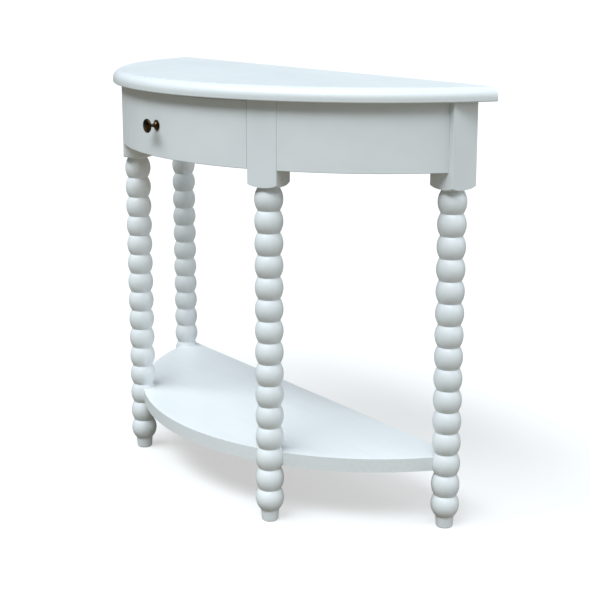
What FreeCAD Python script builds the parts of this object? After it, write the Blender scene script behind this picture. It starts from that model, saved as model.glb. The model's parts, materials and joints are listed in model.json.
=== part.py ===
import FreeCAD, Part
import math
import os

# Half-round console table on bobbin-turned legs, with one bow-front drawer and a low shelf.
# Millimetres. +Z is up, the drawer opens towards -Y, the straight back faces +Y.
# The origin is on the floor, midway between the tip of the knob and the back edge of the top.

# Top
table_height = 762.0
top_thickness = 24.0
top_radius = 499.0          # curved edge, about the centre that all the curves share
top_overhang = 16.0         # past the aprons
curve_setback = 133.5       # that centre lies this far behind the straight back edge
top_edge_round = 16.0       # quarter-round moulding along the curved edge
top_edge_step = 1.0         # square step above the quarter-round
lower_edge_chamfer = 2.0

# Legs
front_leg_angle = 28.8      # degrees from the centre line, seen from the shared centre
back_overhang = 12.0        # the top reaches this far behind the back leg blocks
block_width = 54.0
block_edge_round = 1.5
bobbin_count = 15
bobbin_pitch = 38.0
bobbin_radius = 24.5
neck_radius = 18.9
collar_radius = 20.5        # short flare between the top neck and the shoulder
collar_height = 2.5
shoulder_height = 6.5       # rounded shoulder that runs out at the block's corners
shoulder_bulge = 1.6
foot_height = 20.0
foot_top_radius = 16.0
foot_bottom_radius = 14.5
foot_round = 1.5

# Aprons and back rail
apron_height = 115.0
apron_thickness = 20.0
apron_edge_chamfer = 1.0    # along the lower edges
back_rail_thickness = 20.0
back_rail_inset = 3.0       # from the back faces of the leg blocks
tenon_length = 18.0
tenon_thickness = 9.0
tenon_shoulder = 14.0       # apron height left above and below a tenon
glue_gap = 0.15

# Front rails, behind the drawer front
front_rail_height = 16.0
front_rail_lift = 6.0       # lower rail above the lower edge of the drawer front
front_rail_inset = 6.0      # from the inner corners of the front leg blocks
rail_tenon_length = 14.0
rail_tenon_width = 16.0
rail_tenon_height = 8.0

# Drawer
drawer_front_thickness = 20.0
drawer_end_gap = 1.5        # to the leg blocks
drawer_top_gap = 2.0        # to the underside of the top
drawer_edge_round = 1.2
closing_gap = 0.5           # between the closed front and the front rails
drawer_side_thickness = 12.0
drawer_back_thickness = 12.0
drawer_bottom_thickness = 5.0
drawer_bottom_lift = 8.0    # groove above the lower edge of the sides
drawer_back_drop = 8.0      # back lower than the sides
drawer_rear_space = 38.0    # from the drawer sides to the back rail
drawer_tail = 6.0           # sides reach this far behind the drawer back
housing_depth = 8.0         # sides let into the drawer front
groove_depth = 5.0
slide_gap = 0.3             # under the drawer sides
head_play = 2.0             # above the drawer sides
side_play = 1.0             # between each drawer side and its guide

# Runners and kickers
runner_width = 32.0
runner_guide_width = 9.0
runner_guide_height = 14.0  # above the ledge
runner_block_gap = 1.0      # to the inner corner of the front leg block
runner_tenon_length = 8.0
runner_tenon_width = 16.0
runner_tenon_height = 8.0

# Drawer stop
stop_width = 60.0
stop_thickness = 10.0
stop_lap = 25.0             # down the drawer back
stop_reach = 10.0           # up past the underside of the upper front rail

# Knob
knob_radius = 12.5
knob_head_thickness = 9.0
knob_projection = 24.0
knob_stem_radius = 3.0
knob_rose_radius = 9.5
knob_rose_top_radius = 4.2
knob_rose_edge = 1.5
knob_rose_height = 6.0
knob_rose_hollow = 0.8      # how far its flare bends in
knob_screw_radius = 1.6
knob_screw_head_radius = 4.2
knob_screw_head_height = 2.6
knob_screw_grip = 9.0       # length inside the knob
knob_hole_gap = 0.3

# Shelf
shelf_thickness = 24.0
shelf_back_reach = 21.0     # back edge behind the back leg axes
shelf_bobbin = 3            # the bobbin, counted from the floor, that it is centred on
shelf_edge_round = 1.5
cope_gap = 0.3              # round the bobbins
shelf_dowel_radius = 4.0
shelf_dowel_in_leg = 14.0
shelf_dowel_in_shelf = 20.0

# Corner blocks behind the back legs, and their bolts
corner_block_reach = 60.0   # from the leg axis to the diagonal face
corner_block_height = 60.0
leg_bolt_radius = 4.0
leg_bolt_start = 8.0        # from the leg axis
leg_bolt_tail = 12.0        # past the diagonal face
leg_bolt_play = 0.4
washer_radius = 9.0
washer_thickness = 1.6
nut_across_flats = 13.0
nut_height = 6.5
nut_sides = 6

# Fixing blocks under the top
top_block_depth = 22.0
top_block_height = 22.0

# Wood screws
screw_head_radius = 4.2
screw_head_height = 2.6
screw_radius = 2.1
top_screw_bite = 13.0       # length in the top
stop_screw_bite = 9.0       # length in the drawer back
bottom_screw_bite = 14.0
stop_screw_spacing = 36.0

# Shares
knob_rim_radius_share = 0.86  # where the knob's two caps turn into its rounded rim
knob_rim_height_share = 0.51
top_block_shares = (0.3, 0.66)      # along each apron
top_block_length_share = 0.23       # of the apron's inner length
kicker_screw_shares = (0.18, 0.82)  # along each kicker
rear_block_share = 0.62     # of the way from the middle to the back leg axes
bottom_screw_shares = (-0.8, 0, 0.8)  # of the way from the middle to the drawer sides

overrun = 5.0               # every cut runs this far past the face that it opens
match_tolerance = 0.01      # how closely an edge's place is matched

# Values that follow from those
Vec = FreeCAD.Vector
axis_x = Vec(1, 0, 0)
axis_z = Vec(0, 0, 1)
floor = Vec(0, 0, 0)

block_half = block_width / 2
block_corner_radius = block_half * math.sqrt(2)
apron_radius = top_radius - top_overhang
apron_inner_radius = apron_radius - apron_thickness
leg_circle_radius = apron_radius - block_half  # the four leg axes stand on this circle

back_y = (apron_radius + knob_projection - curve_setback) / 2
curve_y = back_y + curve_setback
curve_center = Vec(0, curve_y, 0)
underside_z = table_height - top_thickness
apron_z = underside_z - apron_height
neck_z = foot_height + bobbin_count * bobbin_pitch

front_angle = math.radians(front_leg_angle)
radial = Vec(math.sin(front_angle), -math.cos(front_angle), 0)
tangent = Vec(math.cos(front_angle), math.sin(front_angle), 0)
front_leg = curve_center + radial * leg_circle_radius
inner_corner = front_leg - radial * block_half - tangent * block_half
back_leg_y = back_y - back_overhang - block_half
back_leg = Vec(math.sqrt(leg_circle_radius ** 2 - (curve_y - back_leg_y) ** 2), back_leg_y, 0)

apron_back_y = back_leg_y - block_half
tenon_height = apron_height - 2 * tenon_shoulder
tenon_z = apron_z + apron_height / 2
back_rail_face_y = back_leg_y + block_half - back_rail_inset - back_rail_thickness

drawer_inner_radius = apron_radius - drawer_front_thickness
drawer_front_height = apron_height - drawer_top_gap
front_rail_radius = drawer_inner_radius - closing_gap
front_rail_back_y = inner_corner.y - front_rail_inset
lower_rail_z = apron_z + front_rail_lift
ledge_z = lower_rail_z + front_rail_height
upper_rail_z = underside_z - front_rail_height

runner_outer_x = inner_corner.x - runner_block_gap
runner_inner_x = runner_outer_x - runner_width
runner_mid_x = (runner_outer_x + runner_inner_x) / 2
runner_tenon_z = lower_rail_z + front_rail_height / 2
runner_length = back_rail_face_y - front_rail_back_y
drawer_half = runner_outer_x - runner_guide_width - side_play
drawer_inner_half = drawer_half - drawer_side_thickness
drawer_low_z = ledge_z + slide_gap
drawer_high_z = upper_rail_z - head_play
drawer_rear_y = back_rail_face_y - drawer_rear_space
drawer_back_rear_y = drawer_rear_y - drawer_tail
drawer_back_front_y = drawer_back_rear_y - drawer_back_thickness
bottom_z = drawer_low_z + drawer_bottom_lift
bottom_top_z = bottom_z + drawer_bottom_thickness
drawer_back_top_z = drawer_high_z - drawer_back_drop

knob_z = apron_z + drawer_front_height / 2
knob_face_y = curve_y - apron_radius

shelf_mid_z = foot_height + (shelf_bobbin - 1 / 2) * bobbin_pitch
shelf_z = shelf_mid_z - shelf_thickness / 2
shelf_back_y = back_leg_y + shelf_back_reach


def mirrored(shape):
    return shape.mirror(floor, axis_x)


def disc(radius, low, high):
    return Part.makeCylinder(radius, high - low, curve_center + axis_z * low)


def block(low_x, high_x, low_y, high_y, low_z, high_z):
    return Part.makeBox(high_x - low_x, high_y - low_y, high_z - low_z, Vec(low_x, low_y, low_z))


def line(start, end):
    return Part.LineSegment(start, end).toShape()


def arc(start, middle, end):
    return Part.Arc(start, middle, end).toShape()


def curve(start, end):
    # Arc about the shared centre, by way of the angle halfway between its ends.
    angles = [math.atan2(p.x, curve_y - p.y) for p in (start, end)]
    middle = sum(angles) / 2
    radius = start.sub(curve_center).Length
    return arc(start, curve_center + Vec(math.sin(middle), -math.cos(middle), 0) * radius, end)


def prism(edges, low, high):
    face = Part.Face(Part.Wire(edges))
    face.translate(axis_z * low)
    return face.extrude(axis_z * (high - low))


def turned_by(angle):
    # Unit step in the XZ plane, at an angle above +X.
    return Vec(math.cos(angle), 0, math.sin(angle))


def outline(points):
    return [line(a, b) for a, b in zip(points, points[1:] + points[:1])]


def lathe(edges):
    return Part.Face(Part.Wire(edges)).revolve(floor, axis_z, 360)


def on_block_side(radius, offset):
    # Where a curve meets a line parallel to the front block's sides, right of the centre line.
    return curve_center + radial * math.sqrt(radius ** 2 - offset ** 2) + tangent * offset


def on_depth(radius, y):
    return Vec(math.sqrt(radius ** 2 - (curve_y - y) ** 2), y, 0)


def flipped(point):
    return Vec(-point.x, point.y, point.z)


def tongue(root, angle, length, width, height, gap=0):
    # A tenon from its root, pointing along the angle; with a gap, the mortise that takes it.
    start = overrun if gap else 0
    body = Part.makeBox(length + gap + start, width + 2 * gap, height + 2 * gap,
                        Vec(-start, -width / 2 - gap, -height / 2 - gap))
    body.rotate(floor, axis_z, angle)
    body.translate(root)
    return body


def screw(place, bite, gap=0):
    # Countersunk wood screw pointing up from its head; with a gap, the hole that takes it.
    head = screw_head_radius + gap
    shank = screw_radius + gap
    tip = bite + gap
    body = lathe(outline([Vec(0, 0, 0), Vec(head, 0, 0), Vec(shank, 0, screw_head_height),
                          Vec(shank, 0, tip), Vec(0, 0, tip)]))
    if gap:
        body = body.fuse(Part.makeCylinder(head, overrun, Vec(0, 0, -overrun)))
    body.translate(place)
    return body


def screw_into_top(place, gap=0):
    return screw(place, underside_z + top_screw_bite - place.z, gap)


def edges_where(shape, test):
    # Edges whose ends both pass a test.
    return [edge for edge in shape.Edges if all(test(vertex.Point) for vertex in edge.Vertexes)]


def is_upright(edge):
    step = edge.Vertexes[-1].Point.sub(edge.Vertexes[0].Point)
    return is_near(abs(step.z), step.Length)


def is_curved(edge):
    return edge.Curve.TypeId == "Part::GeomCircle"


def is_near(value, target):
    return math.isclose(value, target, abs_tol=match_tolerance)


# Top

def make_top():
    # The curved edge is a quarter-round under a small square step.
    step_radius = top_radius - top_edge_round
    step_z = table_height - top_edge_step
    step_edge = Vec(step_radius, 0, table_height)
    step_foot = Vec(step_radius, 0, step_z)
    round_center = step_foot - axis_z * top_edge_round
    spring = round_center + axis_x * top_edge_round
    rim_foot = Vec(top_radius, 0, underside_z + lower_edge_chamfer)
    lip = Vec(top_radius - lower_edge_chamfer, 0, underside_z)
    board = lathe([
        line(axis_z * underside_z, lip),
        line(lip, rim_foot),
        line(rim_foot, spring),
        arc(spring, round_center + turned_by(math.pi / 4) * top_edge_round, step_foot),
        line(step_foot, step_edge),
        line(step_edge, axis_z * table_height),
        line(axis_z * table_height, axis_z * underside_z),
    ])
    board.translate(curve_center)
    front_half = block(-top_radius - overrun, top_radius + overrun, -top_radius, back_y,
                       underside_z - overrun, table_height + overrun)
    board = board.common(front_half)
    for place in top_screw_places() + kicker_screw_places():
        board = board.cut(screw_into_top(place, glue_gap))
    return board


# Legs

def turning(gap=0):
    # Foot, bobbins and collar, turned about the Z axis.
    edges = []
    sole = Vec(foot_bottom_radius - foot_round + gap, 0, 0)
    foot_edge = Vec(foot_bottom_radius + gap, 0, foot_round)
    point = Vec(foot_top_radius + gap, 0, foot_height)
    edges += [line(floor, sole), line(sole, foot_edge), line(foot_edge, point)]
    for index in range(bobbin_count):
        low = foot_height + index * bobbin_pitch
        belly = Vec(bobbin_radius + gap, 0, low + bobbin_pitch / 2)
        neck = Vec(neck_radius + gap, 0, low + bobbin_pitch)
        edges.append(arc(point, belly, neck))
        point = neck
    collar = Vec(collar_radius + gap, 0, neck_z + collar_height)
    top = Vec(0, 0, neck_z + collar_height)
    edges += [line(point, collar), line(collar, top), line(top, floor)]
    return lathe(edges)


def leg_block():
    # Square block whose lower end is turned to a rounded shoulder.
    low = neck_z + collar_height
    start = Vec(collar_radius, 0, low)
    end = Vec(block_corner_radius, 0, low + shoulder_height)
    chord = end.sub(start)
    outward = Vec(chord.z, 0, -chord.x).normalize()
    middle = start + chord * 0.5 + outward * shoulder_bulge
    top_edge = Vec(block_corner_radius, 0, underside_z)
    shoulder = lathe([line(Vec(0, 0, low), start), arc(start, middle, end), line(end, top_edge),
                      line(top_edge, Vec(0, 0, underside_z)), line(Vec(0, 0, underside_z), Vec(0, 0, low))])
    square = block(-block_half, block_half, -block_half, block_half, low - overrun, underside_z)
    uprights = [edge for edge in square.Edges if is_upright(edge)]
    return square.makeFillet(block_edge_round, uprights).common(shoulder)


def make_leg(place, angle, mortises):
    leg = turning().fuse(leg_block()).removeSplitter()
    leg.rotate(floor, axis_z, angle)
    leg.translate(place)
    for mortise in mortises:
        leg = leg.cut(mortise)
    return leg


def make_front_leg():
    mortises = [apron_front_tenon(glue_gap), shelf_dowel(front_leg, front_leg_angle + 90, glue_gap)]
    mortises += [front_rail_tenon(z, glue_gap) for z in (lower_rail_z, upper_rail_z)]
    return make_leg(front_leg, front_leg_angle, mortises)


def make_back_leg():
    mortises = [apron_back_tenon(glue_gap), back_rail_tenon(glue_gap),
                shelf_dowel(back_leg, 180, glue_gap), leg_bolt(leg_bolt_radius + glue_gap)]
    return make_leg(back_leg, 0, mortises)


# Aprons and back rail

def apron_front_tenon(gap=0):
    middle = (apron_radius + apron_inner_radius) / 2
    root = on_block_side(middle, block_half) + axis_z * tenon_z
    return tongue(root, front_leg_angle + 180, tenon_length, tenon_thickness, tenon_height, gap)


def apron_back_tenon(gap=0):
    root = (on_depth(apron_radius, apron_back_y) + on_depth(apron_inner_radius, apron_back_y)) * 0.5
    return tongue(root + axis_z * tenon_z, 90, tenon_length, tenon_thickness, tenon_height, gap)


def back_rail_tenon(gap=0):
    root = Vec(back_leg.x - block_half, back_rail_face_y + back_rail_thickness / 2, tenon_z)
    return tongue(root, 0, tenon_length, tenon_thickness, tenon_height, gap)


def make_apron():
    # Part of a turned ring, between the front block and the back block.
    chamfer_z = apron_z + apron_edge_chamfer
    ring = lathe(outline([
        Vec(apron_inner_radius, 0, underside_z), Vec(apron_inner_radius, 0, chamfer_z),
        Vec(apron_inner_radius + apron_edge_chamfer, 0, apron_z),
        Vec(apron_radius - apron_edge_chamfer, 0, apron_z),
        Vec(apron_radius, 0, chamfer_z), Vec(apron_radius, 0, underside_z)]))
    ring.translate(curve_center)
    outer_front = on_block_side(apron_radius + overrun, block_half)
    inner_front = on_block_side(apron_inner_radius - overrun, block_half)
    outer_back = on_depth(apron_radius + overrun, apron_back_y)
    inner_back = on_depth(apron_inner_radius - overrun, apron_back_y)
    between = prism([curve(outer_front, outer_back), line(outer_back, inner_back),
                     curve(inner_back, inner_front), line(inner_front, outer_front)],
                    apron_z - overrun, underside_z + overrun)
    return ring.common(between).fuse([apron_front_tenon(), apron_back_tenon()]).removeSplitter()


def make_back_rail():
    end_x = back_leg.x - block_half
    back_face_y = back_rail_face_y + back_rail_thickness
    board = block(-end_x, end_x, back_rail_face_y, back_face_y, apron_z, underside_z)
    board = board.fuse([back_rail_tenon(), mirrored(back_rail_tenon())]).removeSplitter()
    mortise = runner_back_tenon(glue_gap)
    return board.cut(mortise).cut(mirrored(mortise))


# Front rails

def front_rail_end():
    # Front and back corners of a front rail where it meets the right-hand block.
    front = on_block_side(front_rail_radius, -block_half)
    reach = (front.y - front_rail_back_y) / math.cos(front_angle)
    return front, front + radial * reach


def front_rail_tenon(low, gap=0):
    front, back = front_rail_end()
    root = (front + back) * 0.5 + axis_z * (low + front_rail_height / 2)
    return tongue(root, front_leg_angle, rail_tenon_length, rail_tenon_width, rail_tenon_height, gap)


def make_front_rail(low):
    front, back = front_rail_end()
    rail = prism([curve(flipped(front), front), line(front, back), line(back, flipped(back)),
                  line(flipped(back), flipped(front))], low, low + front_rail_height)
    tenon = front_rail_tenon(low)
    return rail.fuse([tenon, mirrored(tenon)]).removeSplitter()


def make_lower_rail():
    mortise = runner_front_tenon(glue_gap)
    return make_front_rail(lower_rail_z).cut(mortise).cut(mirrored(mortise))


# Runners and kickers

def runner_front_tenon(gap=0):
    root = Vec(runner_mid_x, front_rail_back_y, runner_tenon_z)
    return tongue(root, -90, runner_tenon_length, runner_tenon_width, runner_tenon_height, gap)


def runner_back_tenon(gap=0):
    root = Vec(runner_mid_x, back_rail_face_y, runner_tenon_z)
    return tongue(root, 90, runner_tenon_length, runner_tenon_width, runner_tenon_height, gap)


def make_runner():
    ledge = block(runner_inner_x, runner_outer_x, front_rail_back_y, back_rail_face_y, lower_rail_z, ledge_z)
    guide = block(runner_outer_x - runner_guide_width, runner_outer_x, front_rail_back_y, back_rail_face_y,
                  ledge_z, ledge_z + runner_guide_height)
    return ledge.fuse([guide, runner_front_tenon(), runner_back_tenon()]).removeSplitter()


def kicker_screw_places():
    right = [Vec(runner_mid_x, front_rail_back_y + share * runner_length, upper_rail_z)
             for share in kicker_screw_shares]
    return right + [flipped(place) for place in right]


def make_kicker():
    kicker = block(runner_inner_x, runner_outer_x, front_rail_back_y, back_rail_face_y,
                   upper_rail_z, underside_z)
    for place in kicker_screw_places():
        kicker = kicker.cut(screw_into_top(place, glue_gap))
    return kicker


# Drawer

def make_drawer_front():
    end_offset = -block_half - drawer_end_gap
    outer = on_block_side(apron_radius, end_offset)
    inner = on_block_side(drawer_inner_radius, end_offset)
    high = apron_z + drawer_front_height
    board = prism([curve(flipped(outer), outer), line(outer, inner), curve(inner, flipped(inner)),
                   line(flipped(inner), flipped(outer))], apron_z, high)
    face_edges = edges_where(board, lambda p: is_near(math.hypot(p.x, p.y - curve_y), apron_radius))
    board = board.makeFillet(drawer_edge_round, face_edges)
    housing = block(drawer_inner_half - glue_gap, drawer_half + glue_gap, -top_radius, drawer_rear_y,
                    drawer_low_z - glue_gap, drawer_high_z + glue_gap)
    housing = housing.common(disc(drawer_inner_radius + housing_depth + glue_gap, apron_z, underside_z))
    groove = block(-drawer_half, drawer_half, -top_radius, drawer_rear_y,
                   bottom_z - glue_gap, bottom_top_z + glue_gap)
    groove = groove.common(disc(drawer_inner_radius + groove_depth + glue_gap, apron_z, underside_z))
    hole = knob_bore(knob_screw_radius + knob_hole_gap, overrun)
    return board.cut([housing, mirrored(housing), groove, hole])


def make_drawer_side():
    side = block(drawer_inner_half, drawer_half, -top_radius, drawer_rear_y, drawer_low_z, drawer_high_z)
    side = side.common(disc(drawer_inner_radius + housing_depth, apron_z, underside_z))
    groove_x = drawer_inner_half + groove_depth
    groove = block(drawer_inner_half - overrun, groove_x, -top_radius, drawer_rear_y + overrun,
                   bottom_z - glue_gap, bottom_top_z + glue_gap)
    dado = block(drawer_inner_half - overrun, groove_x, drawer_back_front_y - glue_gap,
                 drawer_back_rear_y + glue_gap, bottom_z, drawer_high_z + overrun)
    return side.cut([groove, dado])


def drawer_bottom_screw_places():
    return [Vec(share * drawer_inner_half, (drawer_back_front_y + drawer_back_rear_y) / 2, bottom_z)
            for share in bottom_screw_shares]


def stop_screw_places():
    right = Vec(stop_screw_spacing / 2, drawer_back_rear_y + stop_thickness, drawer_back_top_z - stop_lap / 2)
    return [right, flipped(right)]


def stop_screw(place, gap=0):
    body = screw(floor, stop_thickness + stop_screw_bite, gap)
    body.rotate(floor, axis_x, 90)
    body.translate(place)
    return body


def bottom_screw(place, gap=0):
    return screw(place, drawer_bottom_thickness + bottom_screw_bite, gap)


def make_drawer_back():
    half = drawer_inner_half + groove_depth - glue_gap
    back = block(-half, half, drawer_back_front_y, drawer_back_rear_y, bottom_top_z, drawer_back_top_z)
    holes = [bottom_screw(place, glue_gap) for place in drawer_bottom_screw_places()]
    return back.cut(holes + [stop_screw(place, glue_gap) for place in stop_screw_places()])


def make_drawer_bottom():
    half = drawer_inner_half + groove_depth - glue_gap
    panel = block(-half, half, -top_radius, drawer_back_rear_y, bottom_z, bottom_top_z)
    panel = panel.common(disc(drawer_inner_radius + groove_depth, apron_z, underside_z))
    return panel.cut([bottom_screw(place, glue_gap) for place in drawer_bottom_screw_places()])


def make_drawer_stop():
    stop = block(-stop_width / 2, stop_width / 2, drawer_back_rear_y, drawer_back_rear_y + stop_thickness,
                 drawer_back_top_z - stop_lap, upper_rail_z + stop_reach)
    return stop.cut([stop_screw(place, glue_gap) for place in stop_screw_places()])


# Knob

def facing_front(shape):
    # A piece turned about Z, laid with its axis along -Y on the middle of the drawer front.
    shape.rotate(floor, axis_x, 90)
    shape.translate(Vec(0, knob_face_y, knob_z))
    return shape


def knob_bore(radius, depth):
    # Round hole on the knob's axis, from inside the drawer to a depth past the drawer's face.
    inside = drawer_front_thickness + overrun
    return facing_front(Part.makeCylinder(radius, inside + depth, Vec(0, 0, -inside)))


def make_knob():
    # Lens-shaped head on a plain stem, with a blind hole for the screw.
    half = knob_head_thickness / 2
    middle = axis_z * (knob_projection - half)
    tip = axis_z * knob_projection
    rim_x, rim_z = knob_radius * knob_rim_radius_share, half * knob_rim_height_share
    cap_height = half - rim_z
    cap_radius = (rim_x ** 2 + cap_height ** 2) / cap_height / 2
    cap = axis_z * (half - cap_radius)
    rim_angle = math.acos(rim_x / cap_radius)
    stem_angle = math.acos(knob_stem_radius / cap_radius)
    lower_stem = middle - cap + turned_by(-stem_angle) * cap_radius
    lower_middle = middle - cap + turned_by(-(stem_angle + rim_angle) / 2) * cap_radius
    lower_rim = middle + Vec(rim_x, 0, -rim_z)
    upper_rim = middle + Vec(rim_x, 0, rim_z)
    upper_middle = middle + cap + turned_by((rim_angle + math.pi / 2) / 2) * cap_radius
    bore = axis_x * (knob_screw_radius + glue_gap)
    seat = axis_z * knob_rose_height
    bore_end = seat + axis_z * (knob_screw_grip + glue_gap)
    stem = seat + axis_x * knob_stem_radius
    return facing_front(lathe([line(seat + bore, stem), line(stem, lower_stem),
                               arc(lower_stem, lower_middle, lower_rim),
                               arc(lower_rim, middle + axis_x * knob_radius, upper_rim),
                               arc(upper_rim, upper_middle, tip), line(tip, bore_end),
                               line(bore_end, bore_end + bore), line(bore_end + bore, seat + bore)]))


def make_knob_rose():
    edge = Vec(knob_rose_radius, 0, knob_rose_edge)
    collar = Vec(knob_rose_top_radius, 0, knob_rose_height)
    chord = collar.sub(edge)
    flare = (edge + collar) * 0.5 - Vec(chord.z, 0, -chord.x).normalize() * knob_rose_hollow
    top = Vec(0, 0, knob_rose_height)
    rose = lathe([line(floor, axis_x * knob_rose_radius), line(axis_x * knob_rose_radius, edge),
                  arc(edge, flare, collar), line(collar, top), line(top, floor)])
    return facing_front(rose).cut(knob_bore(knob_screw_radius + knob_hole_gap, knob_rose_height + overrun))


def make_knob_screw():
    # The head seats on the edges of the hollow inner face of the drawer front.
    hollow = drawer_inner_radius - math.sqrt(drawer_inner_radius ** 2 - knob_screw_head_radius ** 2)
    seat = -drawer_front_thickness - hollow
    head = seat - knob_screw_head_height
    tip = knob_rose_height + knob_screw_grip
    return facing_front(lathe(outline([
        Vec(0, 0, head), Vec(knob_screw_head_radius, 0, head), Vec(knob_screw_head_radius, 0, seat),
        Vec(knob_screw_radius, 0, seat), Vec(knob_screw_radius, 0, tip), Vec(0, 0, tip)])))


# Shelf

def shelf_dowel(leg, angle, gap=0):
    # Level dowel from inside a leg into the shelf, pointing along the angle.
    start = bobbin_radius - shelf_dowel_in_leg - gap
    length = shelf_dowel_in_leg + shelf_dowel_in_shelf + 2 * gap
    dowel = Part.makeCylinder(shelf_dowel_radius + gap, length, Vec(start, 0, shelf_mid_z), axis_x)
    dowel.rotate(floor, axis_z, angle)
    dowel.translate(leg)
    return dowel


def shelf_dowels(gap=0):
    right = [shelf_dowel(front_leg, front_leg_angle + 90, gap), shelf_dowel(back_leg, 180, gap)]
    return right + [mirrored(dowel) for dowel in right]


def make_shelf():
    corner = Vec(back_leg.x, shelf_back_y, 0)
    board = prism([curve(flipped(back_leg), back_leg), line(back_leg, corner), line(corner, flipped(corner)),
                   line(flipped(corner), flipped(back_leg))], shelf_z, shelf_z + shelf_thickness)
    front_edges = [edge for edge in board.Edges if is_curved(edge)]
    back_edges = edges_where(board, lambda p: is_near(p.y, shelf_back_y))
    long_edges = front_edges + [edge for edge in back_edges if not is_upright(edge)]
    board = board.makeFillet(shelf_edge_round, long_edges)
    scoop = turning(cope_gap)
    for leg in (front_leg, back_leg, flipped(front_leg), flipped(back_leg)):
        around_leg = scoop.copy()
        around_leg.translate(leg)
        board = board.cut(around_leg)
    return board.cut(shelf_dowels(glue_gap))


# Corner blocks and leg bolts

def inward(distance):
    # Point on the back block's diagonal, at a distance from the leg axis towards the middle of the table.
    return back_leg - Vec(1, 1, 0).normalize() * distance


def leg_bolt(radius):
    length = corner_block_reach + leg_bolt_tail - leg_bolt_start
    return Part.makeCylinder(radius, length, inward(leg_bolt_start) + axis_z * tenon_z, Vec(-1, -1, 0))


def ring_on_bolt(outer, distance, height):
    body = Part.makeCylinder(outer, height, inward(distance) + axis_z * tenon_z, Vec(-1, -1, 0))
    return body.cut(leg_bolt(leg_bolt_radius + glue_gap))


def make_nut():
    corner_radius = nut_across_flats / 2 / math.cos(math.pi / nut_sides)
    turns = [2 * math.pi * side / nut_sides for side in range(nut_sides)]
    points = [Vec(math.cos(turn), math.sin(turn), 0) * corner_radius for turn in turns]
    nut = prism(outline(points), 0, nut_height)
    nut.rotate(floor, Vec(0, 1, 0), -90)
    nut.rotate(floor, axis_z, 45)
    nut.translate(inward(corner_block_reach + washer_thickness) + axis_z * tenon_z)
    return nut.cut(leg_bolt(leg_bolt_radius + glue_gap))


def make_corner_block():
    low = tenon_z - corner_block_height / 2
    high = tenon_z + corner_block_height / 2
    face = inward(corner_block_reach)
    inner_x = back_leg.x - block_half
    rail_point = Vec(face.x + face.y - back_rail_face_y, back_rail_face_y, 0)
    apron_far = Vec(apron_inner_radius, face.x + face.y - apron_inner_radius, 0)
    apron_near = Vec(apron_inner_radius, apron_back_y, 0)
    wedge = prism(outline([rail_point, Vec(inner_x, back_rail_face_y, 0), Vec(inner_x, apron_back_y, 0),
                           apron_near, apron_far]), low, high)
    wedge = wedge.common(disc(apron_inner_radius - glue_gap, low - overrun, high + overrun))
    return wedge.cut(leg_bolt(leg_bolt_radius + leg_bolt_play))


# Fixing blocks under the top

def apron_angles():
    front = on_block_side(apron_inner_radius, block_half)
    back = on_depth(apron_inner_radius, apron_back_y)
    return [math.degrees(math.atan2(p.x, curve_y - p.y)) for p in (front, back)]


def side_block_angles():
    start, end = apron_angles()
    return [start + share * (end - start) for share in top_block_shares]


def half_block_length():
    start, end = apron_angles()
    return top_block_length_share * math.radians(end - start) * apron_inner_radius / 2


def side_screw_place(angle):
    reach = apron_inner_radius - top_block_depth / 2
    turn = math.radians(angle)
    low = axis_z * (underside_z - top_block_height)
    return curve_center + low + Vec(math.sin(turn), -math.cos(turn), 0) * reach


def rear_screw_place():
    return Vec(rear_block_share * back_leg.x, back_rail_face_y - top_block_depth / 2,
               underside_z - top_block_height)


def top_screw_places():
    right = [side_screw_place(angle) for angle in side_block_angles()] + [rear_screw_place()]
    return right + [flipped(place) for place in right]


def make_side_block(angle):
    half = half_block_length()
    body = block(-half, half, -apron_radius,
                 -apron_inner_radius + top_block_depth, underside_z - top_block_height, underside_z)
    body.rotate(floor, axis_z, angle)
    body.translate(curve_center)
    body = body.common(disc(apron_inner_radius - glue_gap, apron_z, underside_z))
    return body.cut(screw_into_top(side_screw_place(angle), glue_gap))


def make_rear_block():
    place = rear_screw_place()
    half = half_block_length()
    body = block(place.x - half, place.x + half, back_rail_face_y - top_block_depth, back_rail_face_y,
                 place.z, underside_z)
    return body.cut(screw_into_top(place, glue_gap))


def group(solids):
    return Part.makeCompound(solids)


def pair(shape):
    return group([shape, mirrored(shape)])


def make_parts():
    parts = {
        "table_top": make_top(),
        "back_rail": make_back_rail(),
        "front_rail_lower": make_lower_rail(),
        "front_rail_upper": make_front_rail(upper_rail_z),
        "shelf": make_shelf(),
        "shelf_dowels": group(shelf_dowels()),
        "drawer_front": make_drawer_front(),
        "drawer_back": make_drawer_back(),
        "drawer_bottom": make_drawer_bottom(),
        "drawer_bottom_screws": group([bottom_screw(place) for place in drawer_bottom_screw_places()]),
        "drawer_stop": make_drawer_stop(),
        "drawer_stop_screws": group([stop_screw(place) for place in stop_screw_places()]),
        "knob": make_knob(),
        "knob_rose": make_knob_rose(),
        "knob_screw": make_knob_screw(),
        "leg_bolts": pair(leg_bolt(leg_bolt_radius)),
        "leg_bolt_washers": pair(ring_on_bolt(washer_radius, corner_block_reach, washer_thickness)),
        "leg_bolt_nuts": pair(make_nut()),
        "top_screws": group([screw_into_top(place) for place in top_screw_places()]),
        "kicker_screws": group([screw_into_top(place) for place in kicker_screw_places()]),
    }
    front_block, middle_block = [make_side_block(angle) for angle in side_block_angles()]
    handed = {
        "leg_front": make_front_leg(),
        "leg_back": make_back_leg(),
        "apron": make_apron(),
        "drawer_side": make_drawer_side(),
        "drawer_runner": make_runner(),
        "drawer_kicker": make_kicker(),
        "corner_block": make_corner_block(),
        "top_block_front": front_block,
        "top_block_middle": middle_block,
        "top_block_rear": make_rear_block(),
    }
    for name, shape in handed.items():
        parts[name + "_right"] = shape
        parts[name + "_left"] = mirrored(shape)
    return parts


os.makedirs("parts", exist_ok=True)
for node, shape in make_parts().items():
    shape.exportStep("parts/" + node + ".step")
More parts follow.
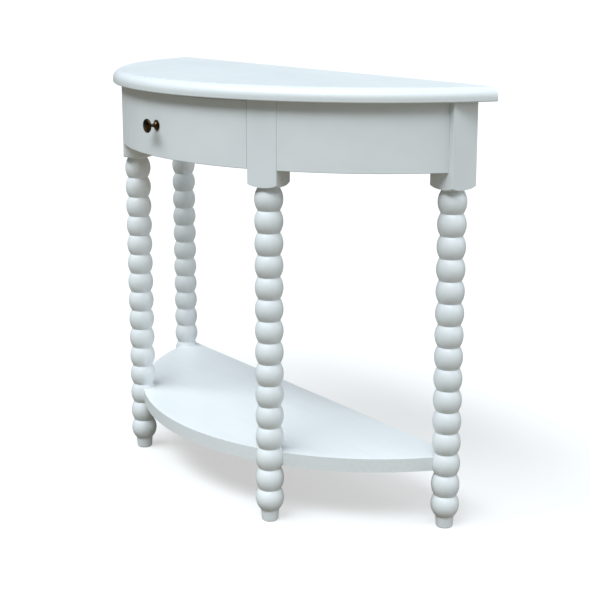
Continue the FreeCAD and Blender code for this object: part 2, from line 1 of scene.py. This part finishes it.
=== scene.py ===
import cmath
import json
import math
import bmesh
import bpy
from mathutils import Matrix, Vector


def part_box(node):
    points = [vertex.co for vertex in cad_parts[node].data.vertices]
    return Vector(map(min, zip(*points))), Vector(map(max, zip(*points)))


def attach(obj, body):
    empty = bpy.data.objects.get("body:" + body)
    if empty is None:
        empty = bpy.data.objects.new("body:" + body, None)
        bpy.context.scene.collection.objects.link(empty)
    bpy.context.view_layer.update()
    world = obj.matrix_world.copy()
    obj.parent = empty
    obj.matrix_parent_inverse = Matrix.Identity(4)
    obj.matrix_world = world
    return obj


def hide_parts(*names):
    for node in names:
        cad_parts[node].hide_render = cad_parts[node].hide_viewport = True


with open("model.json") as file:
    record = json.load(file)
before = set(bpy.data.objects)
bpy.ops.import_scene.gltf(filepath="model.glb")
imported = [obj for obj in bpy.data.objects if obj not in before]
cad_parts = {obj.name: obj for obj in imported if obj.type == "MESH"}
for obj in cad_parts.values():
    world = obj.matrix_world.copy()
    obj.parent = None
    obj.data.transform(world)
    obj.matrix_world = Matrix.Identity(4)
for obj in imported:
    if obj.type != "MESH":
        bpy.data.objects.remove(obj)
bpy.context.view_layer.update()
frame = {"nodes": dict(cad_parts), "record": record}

mm = 0.001
samePoint = 0.005 * mm  # points nearer than this are merged
samePlane = 0.01 * mm   # points nearer than this to a plane lie in it
levelFace = 0.99        # faces whose normals are this near to upright are level


# Places read from the frame

topLow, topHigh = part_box("table_top")
frontLow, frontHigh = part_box("drawer_front")
shelfLow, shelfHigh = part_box("shelf")
roseLow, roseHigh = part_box("knob_rose")
knobLow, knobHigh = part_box("knob")
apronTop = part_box("apron_right")[1].z

topDepth = topHigh.y - topLow.y
topRadius = (topDepth ** 2 + topHigh.x ** 2) / (2 * topDepth)  # arc through the back corners and the front
curveY = topLow.y + topRadius                                  # all the curves share this centre
apronRadius = curveY - frontLow.y


def middleOf(node):
    low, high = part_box(node)
    return (low + high) / 2


legPlaces = {name: middleOf(name) for name in
             ("leg_front_right", "leg_front_left", "leg_back_right", "leg_back_left")}
frontAngle = math.atan2(legPlaces["leg_front_right"].x, curveY - legPlaces["leg_front_right"].y)
print("frame read, curve radius", round(topRadius, 4))


# Modelling steps that the pieces share

def pick(piece=None):
    if bpy.context.mode != "OBJECT":
        bpy.ops.object.mode_set(mode="OBJECT")
    bpy.ops.object.select_all(action="DESELECT")
    if piece:
        piece.select_set(True)
        bpy.context.view_layer.objects.active = piece


def editAll(piece):
    pick(piece)
    bpy.ops.object.mode_set(mode="EDIT")
    bpy.ops.mesh.select_all(action="SELECT")


def choose(piece, kind, test):  # edit mode, with only the edges or faces that pass the test
    editAll(piece)
    bpy.ops.mesh.select_mode(type=kind)
    bpy.ops.mesh.select_all(action="DESELECT")
    work = bmesh.from_edit_mesh(piece.data)
    for part in (work.edges if kind == "EDGE" else work.faces):
        part.select_set(test(part))
    work.select_flush_mode()
    bmesh.update_edit_mesh(piece.data)


def named(name):
    piece = bpy.context.object
    piece.name = name
    piece.data.name = name
    return piece


def settle(piece):  # place, turn and size go into the mesh
    pick(piece)
    bpy.ops.object.transform_apply(location=True, rotation=True, scale=True)
    return piece


def clean(piece):
    editAll(piece)
    bpy.ops.mesh.remove_doubles(threshold=samePoint)
    bpy.ops.mesh.normals_make_consistent(inside=False)
    pick(piece)
    return piece


def modify(piece, kind, **settings):
    pick(piece)
    modifier = piece.modifiers.new(kind.lower(), kind)
    for key, value in settings.items():
        setattr(modifier, key, value)
    bpy.ops.object.modifier_apply(modifier=modifier.name)


def ease(piece, width, segments=3, angle=40):  # rounds every edge sharper than the angle
    modify(piece, "BEVEL", width=width, segments=segments, limit_method="ANGLE",
           angle_limit=math.radians(angle), use_clamp_overlap=True)


def trim(piece, point, outwards):  # cuts off what is past a plane and closes the cut
    editAll(piece)
    bpy.ops.mesh.bisect(plane_co=point, plane_no=outwards, use_fill=True, clear_outer=True)
    pick(piece)


def carve(piece, cutter, how):
    modify(piece, "BOOLEAN", operation=how, object=cutter, solver="EXACT")
    bpy.data.objects.remove(cutter)


def twin(piece, name, place, turn):
    pick(piece)
    bpy.ops.object.duplicate(linked=False)
    copy = named(name)
    copy.location = place
    copy.rotation_euler = (0, 0, turn)
    return settle(copy)


def arcSteps(start, middle, end, count):  # points on the arc through three (radius, height) points
    a, b, c = (complex(*point) for point in (start, middle, end))
    ratio = (c - a) / (b - a)
    center = a + (b - a) * (ratio - abs(ratio) ** 2) / (ratio - ratio.conjugate())
    sweep = cmath.phase((b - center) / (a - center)) + cmath.phase((c - center) / (b - center))
    points = [center + (a - center) * cmath.exp(1j * sweep * step / count) for step in range(1, count + 1)]
    return [(point.real, point.imag) for point in points]


def turned(name, profile, segments):  # a disc drawn up through the (radius, height) profile
    pick()
    radius, height = profile[0]
    bpy.ops.mesh.primitive_circle_add(vertices=segments, radius=radius, fill_type="NGON",
                                      location=(0, 0, height), enter_editmode=True)
    for nextRadius, nextHeight in profile[1:]:
        size = nextRadius / radius
        bpy.ops.mesh.extrude_region_move(TRANSFORM_OT_translate={"value": (0, 0, nextHeight - height)})
        bpy.ops.transform.resize(value=(size, size, 1), center_override=(0, 0, nextHeight))
        radius, height = nextRadius, nextHeight
    bpy.ops.object.mode_set(mode="OBJECT")
    return clean(settle(named(name)))


def curvedBoard(name, inner, outer, low, high, fromAngle, toAngle, steps):
    middle = (inner + outer) / 2
    pick()
    bpy.ops.mesh.primitive_plane_add(
        size=1, rotation=(math.pi / 2, 0, fromAngle - math.pi / 2),
        location=(middle * math.sin(fromAngle), curveY - middle * math.cos(fromAngle), (low + high) / 2))
    board = named(name)
    board.scale = (outer - inner, high - low, 1)
    settle(board)
    editAll(board)
    bpy.ops.mesh.spin(steps=steps, angle=toAngle - fromAngle, center=(0, curveY, 0), axis=(0, 0, -1))
    return clean(board)


def handIn(piece, material, body, slotName, *nodes, smoothAngle=40):
    pick(piece)
    bpy.ops.object.shade_smooth_by_angle(angle=math.radians(smoothAngle))
    modify(piece, "WEIGHTED_NORMAL", keep_sharp=True)
    piece.data.materials.clear()
    piece.data.materials.append(material)
    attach(piece, body)
    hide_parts(*nodes)


# Materials

def linear(code):  # sRGB hex to linear colour
    channels = [int(code[place:place + 2], 16) / 255 for place in (1, 3, 5)]
    light = [value / 12.92 if value <= 0.04045 else ((value + 0.055) / 1.055) ** 2.4 for value in channels]
    return light + [1]


def perMetre(size):  # texture scale for features of this size in mm
    return 1 / (size * mm)


def addNode(tree, kind, inputs=None, stops=(), **settings):
    node = tree.nodes.new("ShaderNode" + kind)
    for key, value in settings.items():
        setattr(node, key, value)
    for key, value in (inputs or {}).items():
        if isinstance(value, bpy.types.NodeSocket):
            tree.links.new(value, node.inputs[key])
        else:
            node.inputs[key].default_value = value
    if len(stops) > 2:  # a new ramp has two stops, so a third goes between them
        node.color_ramp.elements.new(0.5)
    for index, (where, colour) in enumerate(stops):
        node.color_ramp.elements[index].position = where
        node.color_ramp.elements[index].color = colour
    return node


def newMaterial(name):
    material = bpy.data.materials.new(name)
    material.use_nodes = True
    return material, material.node_tree, material.node_tree.nodes["Principled BSDF"]


# Satin enamel over primed hardwood, sprayed and rubbed down: a cool, even white with broad soft
# highlights, a trace of cloudiness in the colour and a fine skin like orange peel.
paintLook = {"deep": "#e4e8ea", "light": "#eceff1", "gloss": (0.36, 0.46), "ior": 1.5,
             "cloudSize": 160, "cloudDetail": 3, "cloudStops": (0.35, 0.65),
             "strokeSize": (260, 5), "strokeDetail": 4, "strokeStops": (0.04, 0.48),
             "skinSize": 3.2, "skinDetail": 2, "skinDepth": 0.05, "skinStrength": 0.25}


def makePaint(name, brushed):
    material, tree, shader = newMaterial(name)
    place = addNode(tree, "TexCoord").outputs["Object"]
    cloud = addNode(tree, "TexNoise", {"Vector": place, "Scale": perMetre(paintLook["cloudSize"]),
                                       "Detail": paintLook["cloudDetail"]}).outputs["Fac"]
    shade, places = cloud, paintLook["cloudStops"]
    if brushed:  # faint strokes along the length of a board, drawn wider than real brush marks to show
        along, across = (perMetre(size) for size in paintLook["strokeSize"])
        stretch = addNode(tree, "Mapping", {"Vector": place, "Scale": (along, across, across)})
        stroke = addNode(tree, "TexNoise", {"Vector": stretch.outputs["Vector"], "Scale": 1,
                                            "Detail": paintLook["strokeDetail"]}).outputs["Fac"]
        shade = addNode(tree, "Math", {0: cloud, 1: stroke}, operation="MULTIPLY").outputs[0]
        places = paintLook["strokeStops"]
    tones = (linear(paintLook["deep"]), linear(paintLook["light"]))
    ramp = addNode(tree, "ValToRGB", {"Fac": shade}, stops=tuple(zip(places, tones)))
    skin = addNode(tree, "TexNoise", {"Vector": place, "Scale": perMetre(paintLook["skinSize"]),
                                      "Detail": paintLook["skinDetail"]})
    bump = addNode(tree, "Bump", {"Height": skin.outputs["Fac"], "Strength": paintLook["skinStrength"],
                                  "Distance": paintLook["skinDepth"] * mm})
    gloss = addNode(tree, "MapRange", {"Value": cloud, "To Min": paintLook["gloss"][0],
                                       "To Max": paintLook["gloss"][1]})
    tree.links.new(ramp.outputs["Color"], shader.inputs["Base Color"])
    tree.links.new(gloss.outputs["Result"], shader.inputs["Roughness"])
    tree.links.new(bump.outputs["Normal"], shader.inputs["Normal"])
    shader.inputs["IOR"].default_value = paintLook["ior"]
    return material


# Planed poplar under a clear sealer: pale straw boards with long soft grain and a dull sheen.
woodLook = {"tones": ((0.36, "#ad875a"), (0.5, "#c6a474"), (0.64, "#d6b98c")), "grainSize": (420, 9),
            "fibreSize": (60, 0.9), "fibreShare": 0.3, "detail": 5, "waver": 0.6, "roughness": (0.64, 0.5),
            "poreDepth": 0.06, "poreStrength": 0.4}


def makeWood(name, axis):  # grain runs along axis 0, 1 or 2
    material, tree, shader = newMaterial(name)
    place = addNode(tree, "TexCoord").outputs["Object"]
    layers = []
    for along, across in (woodLook["grainSize"], woodLook["fibreSize"]):
        scale = [perMetre(across)] * 3
        scale[axis] = perMetre(along)
        stretch = addNode(tree, "Mapping", {"Vector": place, "Scale": scale})
        layer = addNode(tree, "TexNoise", {"Vector": stretch.outputs["Vector"], "Scale": 1,
                                           "Detail": woodLook["detail"], "Distortion": woodLook["waver"]})
        layers.append(layer.outputs["Fac"])
    grain, fibre = layers
    mixed = addNode(tree, "Mix", {"Factor": woodLook["fibreShare"], "A": grain, "B": fibre}).outputs["Result"]
    ramp = addNode(tree, "ValToRGB", {"Fac": mixed},
                   stops=[(where, linear(code)) for where, code in woodLook["tones"]])
    bump = addNode(tree, "Bump", {"Height": fibre, "Strength": woodLook["poreStrength"],
                                  "Distance": woodLook["poreDepth"] * mm})
    dull = addNode(tree, "MapRange", {"Value": mixed, "To Min": woodLook["roughness"][0],
                                      "To Max": woodLook["roughness"][1]})
    tree.links.new(ramp.outputs["Color"], shader.inputs["Base Color"])
    tree.links.new(dull.outputs["Result"], shader.inputs["Roughness"])
    tree.links.new(bump.outputs["Normal"], shader.inputs["Normal"])
    return material


# Cast bronze, chemically darkened and rubbed back: dark brown with soft golden patches, smoother
# and brighter where the brown is rubbed through.
bronzeLook = {"tones": ((0.3, "#32271a"), (0.55, "#57432a"), (0.8, "#8c7243")), "patchSize": 14, "detail": 3,
              "roughness": (0.3, 0.2)}

# Zinc-plated steel screws and bolts: bright grey with faint cloudy patches.
zincLook = {"tones": ((0.35, "#a3a49f"), (0.65, "#c9c9c4")), "patchSize": 4, "detail": 3,
            "roughness": (0.28, 0.44)}


def makeMetal(name, look):
    material, tree, shader = newMaterial(name)
    place = addNode(tree, "TexCoord").outputs["Object"]
    patch = addNode(tree, "TexNoise", {"Vector": place, "Scale": perMetre(look["patchSize"]),
                                       "Detail": look["detail"]}).outputs["Fac"]
    ramp = addNode(tree, "ValToRGB", {"Fac": patch},
                   stops=[(where, linear(code)) for where, code in look["tones"]])
    dull = addNode(tree, "MapRange", {"Value": patch, "To Min": look["roughness"][0],
                                      "To Max": look["roughness"][1]})
    tree.links.new(ramp.outputs["Color"], shader.inputs["Base Color"])
    tree.links.new(dull.outputs["Result"], shader.inputs["Roughness"])
    shader.inputs["Metallic"].default_value = 1
    return material


satinPaint = makePaint("satin_enamel", brushed=False)
boardPaint = makePaint("satin_enamel_on_boards", brushed=True)
woodAlong = [makeWood("poplar_grain_" + axis, place) for place, axis in enumerate("xyz")]
darkBronze = makeMetal("antique_bronze", bronzeLook)
zincSteel = makeMetal("zinc_plated_steel", zincLook)
print("materials made")


# Table top

topBoard = {"round": 16 * mm, "roundSteps": 16, "step": 1 * mm, "stepEase": 0.25 * mm, "lowerRound": 2 * mm,
            "lowerSteps": 3, "segments": 400, "flatMargin": 2 * mm, "backEase": 0.6 * mm, "backSegments": 2}


def makeTop():
    bend, lip, soft = topBoard["round"], topBoard["lowerRound"], topBoard["stepEase"]
    low, high = topLow.z, topHigh.z
    stepRadius, stepHeight = topRadius - bend, high - topBoard["step"]
    slant = math.sqrt(0.5)  # middle of a quarter round
    profile = [(topRadius - lip, low)]
    profile += arcSteps(profile[0], (topRadius - lip + lip * slant, low + lip - lip * slant),
                        (topRadius, low + lip), topBoard["lowerSteps"])
    profile.append((topRadius, stepHeight - bend))
    profile += arcSteps(profile[-1], (stepRadius + bend * slant, stepHeight - bend + bend * slant),
                        (stepRadius, stepHeight), topBoard["roundSteps"])
    profile += [(stepRadius, high - soft), (stepRadius - soft, high),
                (stepRadius - topBoard["flatMargin"], high)]
    board = turned("topBoard", profile, topBoard["segments"])
    board.location.y = curveY
    settle(board)
    trim(board, (0, topHigh.y, 0), (0, 1, 0))
    clean(board)
    choose(board, "EDGE", lambda edge: all(abs(vertex.co.y - topHigh.y) < samePlane for vertex in edge.verts))
    bpy.ops.mesh.bevel(offset=topBoard["backEase"], segments=topBoard["backSegments"], affect="EDGES")
    handIn(board, boardPaint, "table", "white_paint", "table_top")


makeTop()
print("top made")


# Legs

leg = {"segments": 64, "soleRadius": 13 * mm, "footRadius": 14.5 * mm, "footTop": 16 * mm,
       "footRound": 1.5 * mm, "footHeight": 20 * mm, "bobbins": 15, "pitch": 38 * mm, "belly": 24.5 * mm,
       "neck": 18.9 * mm, "bobbinSteps": 12, "collar": 20.5 * mm, "collarHeight": 2.5 * mm,
       "shoulderHeight": 6.5 * mm, "shoulderBulge": 1.6 * mm, "shoulderSteps": 10, "block": 54 * mm,
       "arris": 1.5 * mm, "arrisSegments": 3, "spare": 8 * mm, "smoothAngle": 32}


def bobbin(index, start, gap=0):
    low = leg["footHeight"] + index * leg["pitch"]
    belly = (leg["belly"] + gap, low + leg["pitch"] / 2)
    neck = (leg["neck"] + gap, low + leg["pitch"])
    return arcSteps(start, belly, neck, leg["bobbinSteps"])


def makeTurning():
    profile = [(leg["soleRadius"], 0), (leg["footRadius"], leg["footRound"]),
               (leg["footTop"], leg["footHeight"])]
    for index in range(leg["bobbins"]):
        profile += bobbin(index, profile[-1])
    profile.append((leg["collar"], profile[-1][1] + leg["collarHeight"]))
    return turned("legTurning", profile, leg["segments"])


def makeBlock(low, high):  # square, its lower end turned to a rounded shoulder that runs out at the corners
    pick()
    bottom = low - leg["spare"]
    bpy.ops.mesh.primitive_cube_add(size=1, location=(0, 0, (bottom + high) / 2))
    block = named("legBlock")
    block.scale = (leg["block"], leg["block"], high - bottom)
    settle(block)
    choose(block, "EDGE", lambda edge: abs(edge.verts[0].co.z - edge.verts[1].co.z) > leg["spare"])
    bpy.ops.mesh.bevel(offset=leg["arris"], segments=leg["arrisSegments"], affect="EDGES")
    start = Vector((leg["collar"], low))
    end = Vector((leg["block"] / math.sqrt(2), low + leg["shoulderHeight"]))
    outwards = Vector((end.y - start.y, start.x - end.x)).normalized()
    middle = (start + end) / 2 + outwards * leg["shoulderBulge"]
    profile = [tuple(start)] + arcSteps(start, middle, end, leg["shoulderSteps"])
    profile += [(end.x + leg["spare"], end.y + leg["spare"]), (end.x + leg["spare"], high + leg["spare"])]
    carve(block, turned("shoulder", profile, leg["segments"]), "INTERSECT")
    return block


def makeLeg():
    turning = makeTurning()
    joint = max(vertex.co.z for vertex in turning.data.vertices)
    block = makeBlock(joint, apronTop)
    for piece in (turning, block):  # the two discs where they meet are taken out
        choose(piece, "FACE", lambda face: abs(face.normal.z) > levelFace and
               abs(face.calc_center_median().z - joint) < samePlane)
        bpy.ops.mesh.delete(type="ONLY_FACE")
        pick(piece)
    pick(turning)
    block.select_set(True)
    bpy.ops.object.join()
    return clean(turning)


def makeLegs():
    pattern = makeLeg()
    for node, place in legPlaces.items():
        turn = math.copysign(frontAngle, place.x) if "front" in node else 0
        name = "".join(word.title() for word in node.split("_"))
        copy = twin(pattern, name, (place.x, place.y, 0), turn)
        handIn(copy, satinPaint, "table", "white_paint", node, smoothAngle=leg["smoothAngle"])
    bpy.data.objects.remove(pattern)


makeLegs()
print("legs made")


# Aprons and drawer front

apron = {"thickness": 20 * mm, "ease": 1.2 * mm, "steps": 48, "overrun": math.radians(6)}
drawerFront = {"thickness": 20 * mm, "ease": 1.5 * mm, "steps": 72, "gap": 0.5 * mm}


def blockSide(side, offset):  # plane along the side of a front leg block, offset from the block's middle
    tangent = Vector((side * math.cos(frontAngle), math.sin(frontAngle), 0))
    return Vector((0, curveY, 0)) + tangent * offset, tangent


def makeApron(name, node, side):
    backY = legPlaces["leg_back_right"].y - leg["block"] / 2
    toAngle = math.acos((curveY - backY) / apronRadius) + apron["overrun"]
    board = curvedBoard(name, apronRadius - apron["thickness"], apronRadius, frontLow.z, apronTop,
                        side * frontAngle, side * toAngle, apron["steps"])
    point, tangent = blockSide(side, leg["block"] / 2)
    trim(board, point, -tangent)
    trim(board, (0, backY, 0), (0, 1, 0))
    clean(board)
    ease(board, apron["ease"])
    handIn(board, satinPaint, "table", "white_paint", node)


def makeDrawerFront():
    board = curvedBoard("drawerFace", apronRadius - drawerFront["thickness"], apronRadius,
                        frontLow.z, frontHigh.z, -frontAngle, frontAngle, drawerFront["steps"])
    for side in (1, -1):
        point, tangent = blockSide(side, -leg["block"] / 2 - drawerFront["gap"])
        trim(board, point, tangent)
    clean(board)
    ease(board, drawerFront["ease"])
    handIn(board, satinPaint, "drawer", "white_paint", "drawer_front")


makeApron("apronRight", "apron_right", 1)
makeApron("apronLeft", "apron_left", -1)
makeDrawerFront()
print("aprons and drawer front made")


# Shelf

shelf = {"segments": 400, "copeGap": 0.3 * mm, "ease": 1.5 * mm, "sharpAngle": 50,
         "bobbin": 2}  # it is coped round the third bobbin of each leg, counted from 0


def makeShelf():
    radius = curveY - shelfLow.y
    board = turned("shelfBoard", [(radius, shelfLow.z), (radius, shelfHigh.z)], shelf["segments"])
    board.location.y = curveY
    settle(board)
    trim(board, (0, shelfHigh.y, 0), (0, 1, 0))
    backX = legPlaces["leg_back_right"].x
    for side in (1, -1):
        trim(board, (side * backX, 0, 0), (side, 0, 0))
    start = (leg["neck"] + shelf["copeGap"], leg["footHeight"] + shelf["bobbin"] * leg["pitch"])
    copeProfile = [start] + bobbin(shelf["bobbin"], start, shelf["copeGap"])
    for place in legPlaces.values():
        cope = turned("cope", copeProfile, leg["segments"])
        cope.location = (place.x, place.y, 0)
        carve(board, settle(cope), "DIFFERENCE")
    clean(board)
    ease(board, shelf["ease"], angle=shelf["sharpAngle"])
    handIn(board, boardPaint, "table", "white_paint", "shelf")


makeShelf()
print("shelf made")


# Knob

knob = {"segments": 64, "radius": 12.5 * mm, "thickness": 9 * mm, "stem": 3 * mm, "steps": 10,
        "rimShare": 0.86, "riseShare": 0.51}  # the rim's round, in shares of radius and half thickness
rose = {"segments": 64, "radius": 9.5 * mm, "top": 4.2 * mm, "edge": 1.5 * mm, "hollow": 0.8 * mm,
        "steps": 10, "ease": 0.4 * mm, "sharpAngle": 50}


def seat(piece, faceY):  # turns an upright piece forwards and sets it on the drawer front
    piece.rotation_euler.x = math.pi / 2
    piece.location = (0, faceY, middleOf("knob").z)
    return settle(piece)


def domeHeight(reach, rim, half, rimRise):  # of the head's domed sides above its middle plane
    cap = half - rimRise
    radius = (rim ** 2 + cap ** 2) / (2 * cap)
    return half - radius + math.sqrt(radius ** 2 - reach ** 2)


def makeKnobHead():
    half, steps = knob["thickness"] / 2, knob["steps"]
    middle = knobHigh.y - knobLow.y - half
    rim, rimRise = knob["radius"] * knob["rimShare"], half * knob["riseShare"]
    outwards = [knob["stem"] + (rim - knob["stem"]) * step / steps for step in range(steps + 1)]
    inwards = [rim * math.cos(math.pi / 2 * step / steps) for step in range(1, steps)]
    profile = [(knob["stem"], 0)]
    profile += [(reach, middle - domeHeight(reach, rim, half, rimRise)) for reach in outwards]
    profile += arcSteps(profile[-1], (knob["radius"], middle), (rim, middle + rimRise), steps)
    profile += [(reach, middle + domeHeight(reach, rim, half, rimRise)) for reach in inwards]
    head = seat(turned("knobHead", profile, knob["segments"]), knobHigh.y)
    handIn(head, darkBronze, "drawer", "knob_bronze", "knob")


def makeKnobRose():
    edge, collar = Vector((rose["radius"], rose["edge"])), Vector((rose["top"], roseHigh.y - roseLow.y))
    inwards = Vector((edge.y - collar.y, collar.x - edge.x)).normalized()
    middle = (edge + collar) / 2 + inwards * rose["hollow"]
    profile = [(rose["radius"], 0), tuple(edge)] + arcSteps(edge, middle, collar, rose["steps"])
    plate = seat(turned("knobRose", profile, rose["segments"]), roseHigh.y)
    ease(plate, rose["ease"], angle=rose["sharpAngle"])
    handIn(plate, darkBronze, "drawer", "knob_bronze", "knob_rose")


makeKnobHead()
makeKnobRose()
print("knob made")


# Woodwork inside: each board and block is its node's shape with the edges eased

woodwork = {  # eased edge and, for bare wood, the axis of the grain
    "drawer_side_left": (1 * mm, 1), "drawer_side_right": (1 * mm, 1), "drawer_back": (1 * mm, 0),
    "drawer_bottom": (0.3 * mm, 0), "drawer_stop": (1 * mm, 0), "back_rail": (1.2 * mm, 0),
    "front_rail_lower": (1.2 * mm, 0), "front_rail_upper": (1.2 * mm, 0),
    "drawer_runner_left": (1 * mm, 1), "drawer_runner_right": (1 * mm, 1),
    "drawer_kicker_left": (1 * mm, 1), "drawer_kicker_right": (1 * mm, 1),
    "corner_block_left": (1.2 * mm, 2), "corner_block_right": (1.2 * mm, 2),
    "top_block_front_left": (1.2 * mm, 1), "top_block_front_right": (1.2 * mm, 1),
    "top_block_middle_left": (1.2 * mm, 1), "top_block_middle_right": (1.2 * mm, 1),
    "top_block_rear_left": (1.2 * mm, 0), "top_block_rear_right": (1.2 * mm, 0)}
woodEdges = {"flatAngle": 1, "segments": 2}  # faces that meet within this many degrees become one
slotOf = {part["node"]: part["material_slot"] for part in frame["record"]["subparts"]}
bodyOf = {node: body for body, nodes in frame["record"]["behaviour"]["bodies"].items() for node in nodes}


def easedCopy(node, width):
    board = bpy.data.objects.new(node + "_eased", frame["nodes"][node].data.copy())
    bpy.context.collection.objects.link(board)
    editAll(board)
    bpy.ops.mesh.remove_doubles(threshold=samePoint)
    bpy.ops.mesh.dissolve_limited(angle_limit=math.radians(woodEdges["flatAngle"]))
    pick(board)
    ease(board, width, segments=woodEdges["segments"])
    return board


for node, (width, grain) in woodwork.items():
    finish = satinPaint if slotOf[node] == "white_paint" else woodAlong[grain]
    handIn(easedCopy(node, width), finish, bodyOf[node], slotOf[node], node)
print("woodwork made")


# Screws, bolts and dowels keep the meshes of their nodes

plainFinish = {"white_paint": satinPaint, "bare_wood": woodAlong[0], "knob_bronze": darkBronze,
               "zinc_steel": zincSteel}
for node, cad in frame["nodes"].items():
    cad.data.materials.clear()
    cad.data.materials.append(plainFinish[slotOf[node]])
print("fasteners finished")


# Studio

# A panel is its degrees round from the front, degrees up, strength and spread in degrees.
studio = {"floorSize": 120, "floor": "#ffffff", "floorGlow": 0.5, "bounce": "#837c6e", "sky": "#f1faff",
          "back": "#ffffff", "skyStops": ((0, 0), (0.6, 0.31), (1, 0.31)), "panelReach": 4,
          "panels": ((-36, 55, 0.82, 22), (-6, 55, 0.83, 22), (24, 55, 1.1, 22), (54, 53, 0.78, 24),
                     (97, 52, 0.3, 24), (55, 14, 0.08, 36), (130, 16, 0.82, 40), (205, 14, 0.38, 40))}


def makeFloor():  # white with a glow that keeps shadows light, but a warm grey in the light it throws back up
    pick()
    bpy.ops.mesh.primitive_plane_add(size=studio["floorSize"])
    floor = named("floor")
    material, tree, shader = newMaterial("pale_floor")
    tree.nodes.remove(shader)
    seen = addNode(tree, "LightPath").outputs["Is Camera Ray"]
    matt = addNode(tree, "BsdfDiffuse", {"Color": linear(studio["floor"])}).outputs["BSDF"]
    glow = addNode(tree, "Emission", {"Color": linear(studio["floor"])}).outputs["Emission"]
    shown = addNode(tree, "MixShader", {0: studio["floorGlow"], 1: matt, 2: glow}).outputs[0]
    thrown = addNode(tree, "BsdfDiffuse", {"Color": linear(studio["bounce"])}).outputs["BSDF"]
    both = addNode(tree, "MixShader", {0: seen, 1: thrown, 2: shown})
    tree.links.new(both.outputs[0], tree.nodes["Material Output"].inputs["Surface"])
    floor.data.materials.append(material)


def makeSky():  # a soft dome that fades towards the horizon, and a plain white wall for the camera
    world = bpy.data.worlds.new("studio")
    bpy.context.scene.world = world
    world.use_nodes = True
    tree = world.node_tree
    dome = tree.nodes["Background"]
    direction = addNode(tree, "TexCoord").outputs["Generated"]
    height = addNode(tree, "SeparateXYZ", {"Vector": direction}).outputs["Z"]
    ramp = addNode(tree, "ValToRGB", {"Fac": height},
                   stops=[(where, (level, level, level, 1)) for where, level in studio["skyStops"]])
    dome.inputs["Color"].default_value = linear(studio["sky"])
    tree.links.new(ramp.outputs["Color"], dome.inputs["Strength"])
    wall = addNode(tree, "Background", {"Color": linear(studio["back"])}).outputs["Background"]
    seen = addNode(tree, "LightPath").outputs["Is Camera Ray"]
    both = addNode(tree, "MixShader", {0: seen, 1: dome.outputs["Background"], 2: wall})
    tree.links.new(both.outputs[0], tree.nodes["World Output"].inputs["Surface"])


def makePanel(around, up, strength, spread):  # a broad soft light, aimed at the table
    around, up = math.radians(around), math.radians(up)
    reach = Vector((math.sin(around) * math.cos(up), -math.cos(around) * math.cos(up), math.sin(up)))
    bpy.ops.object.light_add(type="SUN", location=reach * studio["panelReach"],
                             rotation=reach.to_track_quat("Z", "Y").to_euler())
    panel = bpy.context.object
    panel.data.angle = math.radians(spread)
    panel.data.energy = strength
    panel.data.color = linear(studio["sky"])[:3]


camera = {"place": (1.8982, -1.2685, 0.9332), "yaw": 53.464, "pitch": 11.691, "lens": 76.39, "sensor": 36,
          "shift": -0.1}


def makeCamera():
    bpy.ops.object.camera_add(location=camera["place"],
                              rotation=(math.radians(90 - camera["pitch"]), 0, math.radians(camera["yaw"])))
    eye = bpy.context.object
    eye.data.lens = camera["lens"]
    eye.data.sensor_width = camera["sensor"]
    eye.data.shift_y = camera["shift"]
    bpy.context.scene.camera = eye


makeFloor()
makeSky()
for panel in studio["panels"]:
    makePanel(*panel)
makeCamera()
bpy.context.scene.view_settings.view_transform = "Standard"
print("studio ready")
